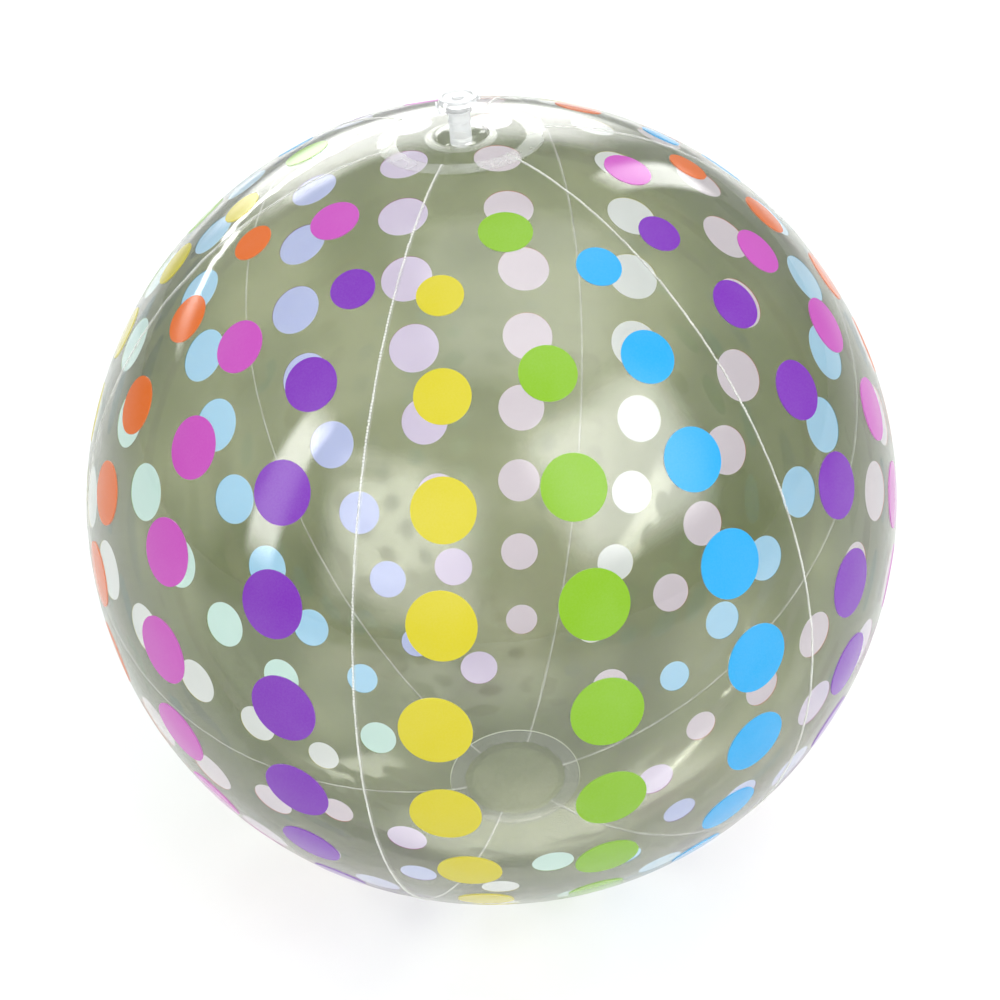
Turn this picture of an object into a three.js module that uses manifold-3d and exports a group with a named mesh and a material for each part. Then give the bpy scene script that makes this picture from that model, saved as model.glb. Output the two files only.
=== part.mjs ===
// Inflatable beach ball of clear film: six welded gores, a round disc over each pole,
// and a pop-up mouth valve with a stopper on a strap and a one-way flap.
// Millimetres. +Z runs up the valve's axis and the origin is on the floor under the ball.
import * as THREE from 'three';
import { mergeVertices } from 'three/addons/utils/BufferGeometryUtils.js';
import Module from 'manifold-3d';

const wasm = await Module();
wasm.setup();

// Inflated shape
const BALL_R = 194;            // outer radius of the gores
const FILM = 0.8;              // film thickness as modelled
const GAP = 0.3;               // clearance between pieces that touch
const POLE_DIP = 2.3;          // how far the stiffer poles stay below a true sphere
const POLE_DIP_ANGLE = 12;     // polar angle over which that dip fades, degrees

// Gores
const GORES = 6;
const GORE_ANGLE = 360 / GORES;
const COLUMNS = 6;             // flat strips across one gore
const ROWS = 20;               // flat strips from pole to pole
const TIP_R = 28;              // radius of the hole that the gore tips leave at each pole
const LAP = 3;                 // width of the welded lap under the next gore
const LAP_GAP = 0.55;          // room between the lap and the flat strips above it
const JOG_WALL = 1.2;          // length of the step that drops the lap

// Polar discs
const DISC_R = 36;
const FLAT_R = 24;             // the ball rests on this much of the bottom disc
const ROUND = 36;              // facets round a disc

// Valve, measured from the nominal top of the ball
const FLANGE_R = 15.6;
const FLANGE_HOLE_R = 12.4;
const FLANGE_T = 1.0;
const SKIRT = 0.6;             // diaphragm thickness
const STEM_R = 4.7;
const BORE_R = 3.1;
const STEM_TOP = 12;
const STEM_BOTTOM = -6;
const SEAT_R = 2.2;            // opening in the lip that the flap closes
const SEAT_T = 1.0;
const COLLAR_R = 5.6;
const COLLAR_T = 2.2;
const EDGE = 0.3;              // small chamfers on the stem and stopper
const CAP_R = 8.2;
const CAP_T = 2.7;
const NOSE_ROOT_R = 2.8;
const NOSE_TIP_R = 2.4;
const NOSE_L = 4.5;
const TAB_REACH = 9.4;         // the stopper's finger tab, from the axis
const TAB_W = 5;
const TAB_T = 1.4;
const STRAP_W = 3.6;
const STRAP_T = 1.0;
const STRAP_REACH = 9.6;       // outside of the strap, from the axis
const STRAP_ROOT_Z = 8.4;
const STRAP_TOP_Z = 14.4;
const STRAP_BEND_R = 2.2;
const FLAP_R = 3.5;
const FLAP_T = 0.5;
const FLAP_HINGE_X = 4.1;
const FLAP_LUG_W = 3;
const TURN = 24;               // facets round the small valve pieces

const rad = THREE.MathUtils.degToRad;

// Radius of the gores' outer face at a polar angle in radians, from either pole.
function shellRadius(polar) {
  const fromPole = Math.min(polar, Math.PI - polar);
  return BALL_R - POLE_DIP * Math.exp(-((fromPole / rad(POLE_DIP_ANGLE)) ** 2));
}

// Polar angle at which the shell, moved out by lift, is r from the axis.
function polarAt(r, lift = 0) {
  let polar = Math.asin(r / BALL_R);
  for (let i = 0; i < 8; i += 1) polar = Math.asin(r / (shellRadius(polar) + lift));
  return polar;
}

// Height above the ball's centre of the shell, moved out by lift, at r from the axis.
function shellHeight(r, lift = 0) {
  const polar = polarAt(r, lift);
  return (shellRadius(polar) + lift) * Math.cos(polar);
}

const DISC_OUT = GAP + FILM;                        // the discs' outer face above the gores
const CENTRE_Z = shellHeight(FLAT_R, DISC_OUT);     // the flat of the bottom disc is at z = 0
const TOP_Z = CENTRE_Z + BALL_R;

const clearFilm = (color) => new THREE.MeshStandardMaterial({ color, roughness: 0.12, metalness: 0 });
const FILM_COLOUR = clearFilm(0xdfe6e2);
const WELD_COLOUR = clearFilm(0xe9eeee);
const VALVE_COLOUR = clearFilm(0xe4e8ea);

const ball = new THREE.Group();

function addPiece(name, geometry, material) {
  const mesh = new THREE.Mesh(geometry, material);
  mesh.name = name;
  ball.add(mesh);
}

// A closed body from equal rings of points, with both ends capped. section is the
// ring as 2D points, anticlockwise seen from the last ring, used to triangulate the caps.
function loft(rings, section) {
  const n = section.length;
  const positions = rings.flat().flatMap((p) => p.toArray());
  const index = [];
  for (let row = 0; row + 1 < rings.length; row += 1) {
    for (let i = 0; i < n; i += 1) {
      const a = row * n + i;
      const b = row * n + (i + 1) % n;
      index.push(a, b, a + n, b, b + n, a + n);
    }
  }
  const last = (rings.length - 1) * n;
  for (const [a, b, c] of THREE.ShapeUtils.triangulateShape(section, [])) {
    index.push(a, c, b);
    index.push(last + a, last + b, last + c);
  }
  const geometry = new THREE.BufferGeometry();
  geometry.setAttribute('position', new THREE.Float32BufferAttribute(positions, 3));
  geometry.setIndex(index);
  return geometry;
}

// A turned piece from a closed outline of [radius, height] points, anticlockwise.
function turned(outline, facets = TURN) {
  const points = outline.map(([r, z]) => new THREE.Vector2(r, z));
  const closesOnAxis = outline[0][0] === 0 && outline.at(-1)[0] === 0;
  if (!closesOnAxis) points.push(points[0].clone());
  return new THREE.LatheGeometry(points, facets).rotateX(Math.PI / 2);
}

function toManifold(geometry) {
  const bare = geometry.clone();
  bare.deleteAttribute('normal');
  bare.deleteAttribute('uv');
  const merged = mergeVertices(bare, 1e-4);
  const triVerts = new Uint32Array(merged.index.array);
  const vertProperties = new Float32Array(merged.attributes.position.array);
  return new wasm.Manifold(new wasm.Mesh({ numProp: 3, vertProperties, triVerts }));
}

function fromManifold(solid) {
  const mesh = solid.getMesh();
  const geometry = new THREE.BufferGeometry();
  geometry.setAttribute('position', new THREE.BufferAttribute(mesh.vertProperties, 3));
  geometry.setIndex(new THREE.BufferAttribute(mesh.triVerts, 1));
  return geometry;
}

// One gore's section at a polar angle, as [longitude, radius] points: the inner face
// from left to right, the lap, the step up from it, and the outer face back.
function goreSection(left, polar) {
  const r = shellRadius(polar);
  const perMm = 1 / (r * Math.sin(polar));
  const right = left + rad(GORE_ANGLE);
  const firstEdge = left + GAP / 2 * perMm;
  const lastEdge = right - GAP / 2 * perMm;
  const middle = [];
  for (let i = 1; i < COLUMNS; i += 1) middle.push(left + rad(GORE_ANGLE) * i / COLUMNS);
  const lapTop = r - FILM - LAP_GAP;
  const outer = [firstEdge, ...middle, lastEdge].map((lon) => [lon, r]);
  const lap = [
    [lastEdge, lapTop],
    [right + LAP * perMm, lapTop],
    [right + LAP * perMm, lapTop - FILM],
    [lastEdge - JOG_WALL * perMm, lapTop - FILM],
    [lastEdge - JOG_WALL * perMm, r - FILM],
  ];
  const inner = [...middle].reverse().map((lon) => [lon, r - FILM]);
  return [...outer, ...lap, ...inner, [firstEdge, r - FILM]].reverse();
}

function gore(number) {
  const left = rad(-90 - GORE_ANGLE / 2 + (number - 1) * GORE_ANGLE);
  const tip = polarAt(TIP_R);
  const rings = [];
  for (let row = 0; row <= ROWS; row += 1) {
    const polar = tip + (Math.PI - 2 * tip) * row / ROWS;
    rings.push(goreSection(left, polar).map(([lon, r]) => new THREE.Vector3(
      r * Math.sin(polar) * Math.cos(lon),
      r * Math.sin(polar) * Math.sin(lon),
      CENTRE_Z + r * Math.cos(polar),
    )));
  }
  const section = goreSection(left, tip).map(([lon, r]) => new THREE.Vector2(lon, r));
  return loft(rings, section);
}

// Points of the shell moved out by lift, as [radius, height above the centre].
function shellPoints(radii, lift) {
  return radii.map((r) => [r, shellHeight(r, lift)]);
}

// The disc over the top pole, with the valve's hole.
function topDisc() {
  const radii = [FLANGE_HOLE_R + GAP, 20, TIP_R, (TIP_R + DISC_R) / 2, DISC_R];
  const under = shellPoints(radii, GAP);
  const over = shellPoints([...radii].reverse(), DISC_OUT);
  const outline = [...under, ...over].map(([r, z]) => [r, CENTRE_Z + z]);
  return turned(outline, ROUND);
}

// The disc under the bottom pole, flat where the ball stands on it.
function bottomDisc() {
  const weld = [TIP_R, (TIP_R + DISC_R) / 2, DISC_R];
  const under = shellPoints(weld, DISC_OUT).map(([r, z]) => [r, CENTRE_Z - z]);
  const over = shellPoints([...weld].reverse(), GAP).map(([r, z]) => [r, CENTRE_Z - z]);
  return turned([[0, 0], [FLAT_R, 0], ...under, ...over, [FLAT_R, FILM], [0, FILM]], ROUND);
}

// The valve's base ring, welded under the edge of the disc's hole.
function valveFlange() {
  const over = shellPoints([FLANGE_R, FLANGE_HOLE_R], 0);
  const under = shellPoints([FLANGE_HOLE_R, FLANGE_R], -FLANGE_T);
  return turned([...under, ...over].map(([r, z]) => [r, CENTRE_Z + z]), ROUND);
}

// The soft skirt between base ring and stem, as a shouldered dome that turns
// inside out when the valve is pushed in.
function valveDiaphragm() {
  const foot = FLANGE_HOLE_R - GAP;
  const neck = STEM_R + GAP;
  const base = shellHeight(FLANGE_HOLE_R) + CENTRE_Z - FLANGE_T;
  const rise = 4.6;
  const steps = 5;
  const outer = [];
  const inner = [];
  for (let i = 0; i <= steps; i += 1) {
    const t = rad(90) * i / steps;
    const span = foot - neck;
    outer.push([neck + span * Math.cos(t), base + rise * Math.sin(t)]);
    inner.push([neck + (span - SKIRT) * Math.cos(t), base + (rise - SKIRT) * Math.sin(t)]);
  }
  return turned([...outer, ...inner.reverse()], ROUND);
}

function valveStem() {
  const outline = [
    [SEAT_R, STEM_BOTTOM],
    [STEM_R, STEM_BOTTOM],
    [STEM_R, STEM_TOP - COLLAR_T - EDGE],
    [COLLAR_R, STEM_TOP - COLLAR_T],
    [COLLAR_R, STEM_TOP - EDGE],
    [COLLAR_R - EDGE, STEM_TOP],
    [BORE_R + EDGE, STEM_TOP],
    [BORE_R, STEM_TOP - EDGE],
    [BORE_R, STEM_BOTTOM + SEAT_T],
    [SEAT_R, STEM_BOTTOM + SEAT_T],
  ];
  return turned(outline).translate(0, 0, TOP_Z);
}

// The stopper: a round cap with a finger tab, and a tapered nose that plugs the bore.
function stopper() {
  const seat = STEM_TOP + GAP;
  const outline = [
    [0, seat - NOSE_L],
    [NOSE_TIP_R - EDGE, seat - NOSE_L],
    [NOSE_TIP_R, seat - NOSE_L + EDGE],
    [NOSE_ROOT_R, seat],
    [CAP_R - 2 * EDGE, seat],
    [CAP_R, seat + 2 * EDGE],
    [CAP_R, seat + CAP_T - 2 * EDGE],
    [CAP_R - 2 * EDGE, seat + CAP_T],
    [0, seat + CAP_T],
  ];
  const tab = new THREE.BoxGeometry(TAB_REACH - CAP_R / 2, TAB_W, TAB_T);
  tab.translate((TAB_REACH + CAP_R / 2) / 2, 0, seat + CAP_T - 2 * EDGE - TAB_T / 2);
  const joined = toManifold(turned(outline)).add(toManifold(tab));
  return fromManifold(joined).translate(0, 0, TOP_Z);
}

// The strap that keeps the stopper on the stem: out from the neck and up past the cap.
function stopperStrap() {
  const outside = -STRAP_REACH;
  const inside = outside + STRAP_T;
  const root = -(STEM_R + GAP);
  const side = new THREE.Shape();
  side.moveTo(root, STRAP_ROOT_Z);
  side.lineTo(root, STRAP_ROOT_Z + STRAP_T);
  const bendX = outside + STRAP_BEND_R;
  const bendZ = STRAP_ROOT_Z + STRAP_BEND_R;
  side.absarc(bendX, bendZ, STRAP_BEND_R - STRAP_T, rad(270), rad(180), true);
  side.lineTo(inside, STRAP_TOP_Z);
  side.lineTo(outside, STRAP_TOP_Z);
  side.absarc(bendX, bendZ, STRAP_BEND_R, rad(180), rad(270), false);
  const band = new THREE.ExtrudeGeometry(side, { depth: STRAP_W, bevelEnabled: false, curveSegments: 4 });
  return band.rotateX(Math.PI / 2).translate(0, STRAP_W / 2, TOP_Z);
}

// The one-way flap under the stem, hung from a lug at one side of the seat.
function checkFlap() {
  const outline = new THREE.Shape();
  const lugAngle = Math.asin(FLAP_LUG_W / 2 / FLAP_R);
  outline.moveTo(FLAP_HINGE_X, -FLAP_LUG_W / 2);
  outline.lineTo(FLAP_HINGE_X, FLAP_LUG_W / 2);
  outline.absarc(0, 0, FLAP_R, lugAngle, 2 * Math.PI - lugAngle, false);
  const flap = new THREE.ExtrudeGeometry(outline, { depth: FLAP_T, bevelEnabled: false, curveSegments: 18 });
  return flap.translate(0, 0, TOP_Z + STEM_BOTTOM - GAP - FLAP_T);
}

for (let number = 1; number <= GORES; number += 1) addPiece(`gore_${number}`, gore(number), FILM_COLOUR);
addPiece('top_disc', topDisc(), WELD_COLOUR);
addPiece('bottom_disc', bottomDisc(), WELD_COLOUR);
addPiece('valve_flange', valveFlange(), VALVE_COLOUR);
addPiece('valve_diaphragm', valveDiaphragm(), VALVE_COLOUR);
addPiece('valve_stem', valveStem(), VALVE_COLOUR);
addPiece('check_flap', checkFlap(), VALVE_COLOUR);
addPiece('stopper', stopper(), VALVE_COLOUR);
addPiece('stopper_strap', stopperStrap(), VALVE_COLOUR);

export default ball;
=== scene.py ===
"""Inflatable beach ball of clear printed film: six gores, polar discs and a pop-up mouth valve."""
import math

import bmesh
import bpy
from mathutils import Matrix, Vector


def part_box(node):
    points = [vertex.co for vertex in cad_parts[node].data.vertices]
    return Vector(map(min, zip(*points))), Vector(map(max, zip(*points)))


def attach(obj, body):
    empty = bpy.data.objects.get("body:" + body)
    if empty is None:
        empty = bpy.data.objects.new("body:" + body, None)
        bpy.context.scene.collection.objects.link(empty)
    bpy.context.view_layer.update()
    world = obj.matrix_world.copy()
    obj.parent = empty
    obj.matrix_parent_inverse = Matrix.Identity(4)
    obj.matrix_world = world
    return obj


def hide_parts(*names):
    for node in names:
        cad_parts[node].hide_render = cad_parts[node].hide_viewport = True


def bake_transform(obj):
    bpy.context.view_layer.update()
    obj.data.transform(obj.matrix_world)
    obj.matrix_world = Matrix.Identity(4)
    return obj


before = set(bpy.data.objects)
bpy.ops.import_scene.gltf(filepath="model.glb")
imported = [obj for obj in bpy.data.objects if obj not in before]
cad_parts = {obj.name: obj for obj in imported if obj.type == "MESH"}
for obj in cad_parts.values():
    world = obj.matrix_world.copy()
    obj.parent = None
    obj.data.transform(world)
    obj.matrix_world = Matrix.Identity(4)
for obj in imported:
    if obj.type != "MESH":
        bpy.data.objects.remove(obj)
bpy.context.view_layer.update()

bl_info = {
    "name": "Clear Beach Ball",
    "version": (1, 0, 0),
    "blender": (4, 5, 0),
    "location": "3D View > Sidebar > Beach Ball",
    "description": "Builds a clear inflatable beach ball with printed dots around its packed model",
    "category": "Object",
}

MM = 0.001
SHARP_ANGLE = math.radians(40)    # edges turned more than this stay sharp
GORES = 6
GORE_ANGLE = math.tau / GORES
INKS = {    # the colour of each ink, and of the pale base coat behind it
    "yellow": ((0.53, 0.46, 0.018), (0.56, 0.58, 0.56)),
    "green": ((0.20, 0.40, 0.016), (0.47, 0.645, 0.585)),
    "blue": ((0.018, 0.325, 0.66), (0.325, 0.54, 0.73)),
    "violet": ((0.17, 0.027, 0.375), (0.38, 0.42, 0.64)),
    "magenta": ((0.475, 0.07, 0.41), (0.51, 0.445, 0.57)),
    "orange": ((0.64, 0.125, 0.008), (0.53, 0.47, 0.51)),
}

# The ink of each gore's left, middle and right column of dots, seen from outside.
GORE_INKS = (
    ("yellow", "green", "blue"),
    ("violet", "magenta", "orange"),
    ("blue", "orange", "yellow"),
    ("orange", "magenta", "violet"),
    ("blue", "green", "yellow"),
    ("orange", "magenta", "violet"),
)

# Heights that the packed pieces fix.
STEM_LOW, STEM_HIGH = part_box("valve_stem")
CAP_LOW, CAP_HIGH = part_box("stopper")
STRAP_LOW, STRAP_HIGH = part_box("stopper_strap")
SKIRT_LOW, SKIRT_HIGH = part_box("valve_diaphragm")
FLAP_LOW, FLAP_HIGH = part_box("check_flap")
RING_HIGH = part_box("valve_flange")[1]
GORE_LOW, GORE_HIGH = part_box("gore_1")
BALL_R = -GORE_LOW[1]
CENTRE_Z = (GORE_LOW[2] + GORE_HIGH[2]) / 2


# --- Settings ---

def length(name, description, millimetres):
    """A length, given in millimetres and kept in metres."""
    return bpy.props.FloatProperty(
        name=name, description=description, default=millimetres * MM, min=0.0, precision=5,
        subtype="DISTANCE", unit="LENGTH")


def angle(name, description, degrees):
    return bpy.props.FloatProperty(
        name=name, description=description, default=math.radians(degrees), subtype="ANGLE",
        unit="ROTATION")


def factor(name, description, default):
    return bpy.props.FloatProperty(
        name=name, description=description, default=default, min=0.0, subtype="FACTOR")


def colour(name, description, default):
    """A linear colour."""
    return bpy.props.FloatVectorProperty(
        name=name, description=description, default=default, size=3, min=0.0, max=1.0,
        subtype="COLOR")


class BallFilmSettings(bpy.types.PropertyGroup):
    """The inflated film and its welds."""
    thickness: length("Thickness", "Thickness of the film", 0.3)
    pole_dip: length("Pole Dip", "Drop of the poles below a sphere", 2.3)
    dip_angle: angle("Dip Angle", "Angle over which it fades", 12)
    tip_radius: length("Tip Radius", "Radius of the gore tips' hole", 28)
    disc_radius: length("Disc Radius", "Radius of the polar discs", 36)
    flat_radius: length("Flat Radius", "Radius of the flat at the bottom", 24)
    lap_width: length("Lap Width", "Width of the lap under the next gore", 0.9)
    lap_drop: length("Lap Drop", "Depth of the lap under the next gore", 0.4)
    seam_dent: length("Seam Dent", "Depth of the dent along a seam", 0.18)
    dent_width: length("Dent Width", "Distance over which it fades", 6)
    pucker_height: length("Pucker Height", "Height of the puckers at a seam", 0.3)
    pucker_length: length("Pucker Length", "Spacing of the puckers along a seam", 13)
    pucker_reach: length("Pucker Reach", "How far from a seam they reach", 10)
    ripple_height: length("Ripple Height", "Height of the film's broad ripples", 0.35)
    ripple_length: length("Ripple Length", "Spacing of the broad ripples", 70)
    weld_width: length("Weld Width", "Width of the seams' weld line", 0.7)
    bead_pitch: length("Bead Pitch", "Distance between the weld's beads", 1.3)


class BallDotSettings(bpy.types.PropertyGroup):
    """The printed dots of one gore."""
    middle_latitude: angle("Middle Latitude", "Latitude of the pattern's middle", 1.2)
    row_angle: angle("Row Angle", "Latitude between two rows", 13.47)
    row_shrink: factor("Row Shrink", "How rows close up, per row squared", 0.0016)
    middle_stretch: factor("Middle Stretch", "Extra spacing of the middle dots", 1.03)
    end_latitude: angle("End Latitude", "Latitude of a middle column's ends", 66.9)
    side_angle: angle("Side Angle", "Arc from middle to side column", 21.5)
    side_taper: angle("Side Taper", "Arc by which that narrows per row", 2.62)
    diameter: length("Diameter", "Dot diameter in the middle", 31)
    taper: length("Taper", "Loss of diameter per row", 1.4)
    taper_growth: length("Taper Growth", "Loss of diameter per row squared", 0.3)
    end_diameter: length("End Diameter", "Diameter of a middle column's ends", 21.5)
    depth: length("Depth", "Depth of the print's back in the film", 0.42)
    height: length("Height", "Height of the ink on the film", 0.09)


class BallValveSettings(bpy.types.PropertyGroup):
    """The mouth valve."""
    stem_radius: length("Stem Radius", "Outer radius of the stem", 4.7)
    bore_radius: length("Bore Radius", "Radius of the stem's bore", 3.1)
    seat_radius: length("Seat Radius", "Radius of the flap's opening", 2.2)
    seat_height: length("Seat Height", "Thickness of the lip round it", 1.0)
    collar_height: length("Collar Height", "Height of the collar round the mouth", 2.2)
    cap_radius: length("Cap Radius", "Radius of the stopper's cap", 8.2)
    cap_height: length("Cap Height", "Thickness of the stopper's cap", 2.7)
    nose_root: length("Nose Root", "Radius of the nose at the cap", 2.8)
    nose_tip: length("Nose Tip", "Radius of the nose at its tip", 2.4)
    tab_width: length("Tab Width", "Width of the finger tab", 5)
    tab_height: length("Tab Height", "Thickness of the finger tab", 1.4)
    strap_thickness: length("Strap Thickness", "Thickness of the strap", 1.0)
    skirt_thickness: length("Skirt Thickness", "Thickness of the soft skirt", 0.6)
    edge: length("Edge", "Radius of the moulded edges", 0.35)


class BallColourSettings(bpy.types.PropertyGroup):
    """Colours of the painted shade seen through the film, the welds, the valve, the inks and their
    pale backs.
    """
    # The two film colours below are painted shade, not the film's own colour: the dark ground behind
    # the ball, painted on where sight leaves it
    film: colour("Film", "What the film's deeper patches let through", (0.345, 0.38, 0.20))
    film_pale: colour("Film Pale", "What its paler patches let through", (0.51, 0.535, 0.36))
    weld: colour("Weld", "Welded film", (0.80, 0.82, 0.78))
    valve: colour("Valve", "Moulded clear vinyl", (0.95, 0.96, 0.96))


for ink, (front, back) in INKS.items():
    BallColourSettings.__annotations__.update({
        ink: colour(ink.title(), f"The {ink} ink", front),
        ink + "_back": colour(ink.title() + " Back", f"The back of a {ink} dot", back)})


# --- Node tools ---

class Value:
    """A socket that puts out a value, and takes part in sums."""

    def __init__(self, socket):
        self.socket = socket

    def __add__(self, other):
        return maths("ADD", self, other)

    def __sub__(self, other):
        return maths("SUBTRACT", self, other)

    def __rsub__(self, other):
        return maths("SUBTRACT", other, self)

    def __mul__(self, other):
        return maths("MULTIPLY", self, other)

    def __truediv__(self, other):
        return maths("DIVIDE", self, other)


def tree_of(*values):
    """The node tree that some of the values are in."""
    return next(value.socket.id_data for value in values if isinstance(value, Value))


def plug(value, socket):
    """Links a value to a socket, or sets the socket to a plain number, colour or material."""
    if isinstance(value, Value):
        socket.id_data.links.new(value.socket, socket)
    else:
        socket.default_value = value


def node(tree, kind, inputs=None, **settings):
    """A new node with its settings, and its inputs linked or set by name or number."""
    made = tree.nodes.new(kind)
    for key, value in settings.items():
        setattr(made, key, value)
    for key, value in (inputs or {}).items():
        plug(value, made.inputs[key])
    return made


def value_of(tree, kind, inputs=None, output=0, **settings):
    """What a new node puts out."""
    return Value(node(tree, kind, inputs, **settings).outputs[output])


def maths(operation, *values):
    return value_of(tree_of(*values), "ShaderNodeMath", dict(enumerate(values)), operation=operation)


def vector_maths(operation, *values, output="Vector"):
    return value_of(
        tree_of(*values), "ShaderNodeVectorMath", dict(enumerate(values)), output, operation=operation)


def scaled(vector, factor):
    return value_of(tree_of(vector), "ShaderNodeVectorMath", {0: vector, "Scale": factor},
                    operation="SCALE")


def split(vector):
    """The three parts of a vector."""
    parts = node(tree_of(vector), "ShaderNodeSeparateXYZ", {0: vector}).outputs
    return [Value(part) for part in parts]


def combine(tree, x, y, z):
    return value_of(tree, "ShaderNodeCombineXYZ", {"X": x, "Y": y, "Z": z})


def bell(distance, width):
    """1 at no distance, falling to nothing over the width."""
    share = distance / width
    return maths("EXPONENT", share * share * -1.0)


def ranged(value, low, high, out_low, out_high, curve="LINEAR"):
    """Maps a value from one range to another, clamped."""
    inputs = dict(enumerate((value, low, high, out_low, out_high)))
    return value_of(tree_of(value), "ShaderNodeMapRange", inputs, interpolation_type=curve)


def noise(where, scale, detail=3.0):
    return value_of(tree_of(where), "ShaderNodeTexNoise", {
        "Vector": where, "Scale": scale, "Detail": detail})


def mix_colour(share, first, second):
    return value_of(tree_of(share, first, second), "ShaderNodeMix", {
        0: share, 6: first, 7: second}, 2, data_type="RGBA")


def position(tree):
    return value_of(tree, "GeometryNodeInputPosition")


def object_place(tree):
    """Where on the piece a shader is, in metres."""
    return value_of(tree, "ShaderNodeTexCoord", output="Object")


FLOAT, INTEGER, VECTOR = "NodeSocketFloat", "NodeSocketInt", "NodeSocketVector"
COLOUR, MATERIAL, GEOMETRY = "NodeSocketColor", "NodeSocketMaterial", "NodeSocketGeometry"


def new_group(name, kind, inputs, outputs):
    """A node group's tree, its named inputs as values, and the sockets it puts out."""
    tree = bpy.data.node_groups.new(name, kind)
    for input_name, (socket_type, value) in inputs.items():
        socket = tree.interface.new_socket(input_name, in_out="INPUT", socket_type=socket_type)
        if value is not None:
            socket.default_value = value
    for output_name, socket_type in outputs.items():
        tree.interface.new_socket(output_name, in_out="OUTPUT", socket_type=socket_type)
    given = {socket.name: Value(socket) for socket in tree.nodes.new("NodeGroupInput").outputs}
    return tree, given, tree.nodes.new("NodeGroupOutput").inputs


def setting_inputs(settings, *keys):
    """Group inputs named after settings, with their values."""
    return {key.replace("_", " ").title(): (FLOAT, getattr(settings, key)) for key in keys}


# --- Pieces ---

def new_object(name, mesh):
    obj = bpy.data.objects.new(name, mesh)
    bpy.context.scene.collection.objects.link(obj)
    return obj


def run_tree(name, tree, values):
    """A piece made by a geometry tree: a plain mesh with the modifier applied and removed."""
    obj = new_object(name, bpy.data.meshes.new(name))
    modifier = obj.modifiers.new("Shape", "NODES")
    modifier.node_group = tree
    sockets = {item.name: item.identifier for item in tree.interface.items_tree
               if item.item_type == "SOCKET" and item.in_out == "INPUT"}
    for key, value in values.items():
        modifier[sockets[key]] = value
    apply_modifiers(obj)
    obj.data.set_sharp_from_angle(angle=SHARP_ANGLE)
    return obj


def apply_modifiers(obj):
    """Turns the object's modifiers into its mesh."""
    evaluated = obj.evaluated_get(bpy.context.evaluated_depsgraph_get())
    mesh = bpy.data.meshes.new_from_object(evaluated)
    if not mesh.polygons:
        raise RuntimeError(obj.name + " has no faces")
    obj.modifiers.clear()
    obj.data = mesh
    mesh.name = obj.name
    return obj


def place(obj, body, slot, *nodes, material=None):
    """Rides the piece on its body, in place of CAD nodes. The slot is not used."""
    if material:
        coat(obj, material)
    if nodes:
        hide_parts(*nodes)
    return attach(obj, body)


def coat(obj, material):
    """Gives the whole piece one material."""
    obj.data.materials.clear()
    obj.data.materials.append(material)


# --- Shader groups ---

def shared_group(tree, name, inputs, outputs, build):
    """What a shader group puts out, with its inputs set: the group is built once."""
    group = bpy.data.node_groups.get(name)
    if group is None:
        kinds = {key: (COLOUR if isinstance(value, tuple) else FLOAT, value)
                 for key, value in inputs.items()}
        group, given, result = new_group(name, "ShaderNodeTree", kinds, outputs)
        build(group, given, result)
    made = node(tree, "ShaderNodeGroup", node_tree=group)
    for key, value in inputs.items():
        plug(value, made.inputs[key])
    return {socket.name: Value(socket) for socket in made.outputs}


def build_wear(tree, given, result):
    """Where vinyl is dulled by cloudy patches and fine scuffs, and its fine grain as a height."""
    where = object_place(tree)
    cloud = ranged(noise(where, given["Cloud Scale"], 4.0), 0.35, 0.7, 0.0, 1.0)
    brushed = value_of(tree, "ShaderNodeMapping", {"Vector": where, "Scale": (0.15, 0.4, 1.6)})
    scuffs = ranged(noise(brushed, given["Fine Scale"], 2.0), 0.66, 0.78, 0.0, 1.0)
    plug(maths("MAXIMUM", cloud, scuffs), result["Dulled"])
    plug(noise(where, given["Fine Scale"], 5.0), result["Height"])


def wear(tree, cloud_scale, fine_scale):
    return shared_group(tree, "Vinyl Wear", {"Cloud Scale": cloud_scale, "Fine Scale": fine_scale},
                        {"Dulled": FLOAT, "Height": FLOAT}, build_wear)


def build_print(tree, given, result):
    """Screen print: its ink is a little thin in a fine grain and in soft clouds."""
    where = object_place(tree)
    cloud = ranged(noise(where, 45.0, 2.0), 0.3, 0.7, 0.0, 1.0)
    grain = ranged(noise(where, 1400.0, 2.0), 0.35, 0.7, 0.0, 1.0)
    share = (cloud * 0.55 + grain * 0.45) * given["Thinness"]
    plug(mix_colour(share, given["Ink"], given["Thin Ink"]), result["Colour"])
    plug(ranged(cloud, 0.0, 1.0, 0.10, 0.17), result["Roughness"])
    plug(grain, result["Height"])


def print_grain(tree, ink, thin_ink):
    return shared_group(tree, "Print Grain", {"Ink": ink, "Thin Ink": thin_ink, "Thinness": 0.5},
                        {"Colour": COLOUR, "Roughness": FLOAT, "Height": FLOAT}, build_print)


def bump(height, strength, distance):
    return value_of(tree_of(height), "ShaderNodeBump", {
        "Height": height, "Strength": strength, "Distance": distance})


def axis_radius(tree):
    """Distance from the ball's axis."""
    level = vector_maths("MULTIPLY", object_place(tree), (1, 1, 0))
    return vector_maths("LENGTH", level, output="Value")


# --- Materials ---

def new_material(name):
    """An empty node material: itself, its tree and the socket for its surface."""
    material = bpy.data.materials.new(name)
    material.use_nodes = True
    tree = material.node_tree
    tree.nodes.clear()
    return material, tree, node(tree, "ShaderNodeOutputMaterial").inputs[0]


def principled(tree, inputs):
    return value_of(tree, "ShaderNodeBsdfPrincipled", inputs)


def mix_shader(tree, share, first, second):
    return value_of(tree, "ShaderNodeMixShader", {0: share, 1: first, 2: second})


def opaque(colour_value):
    return (*colour_value, 1.0)


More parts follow.
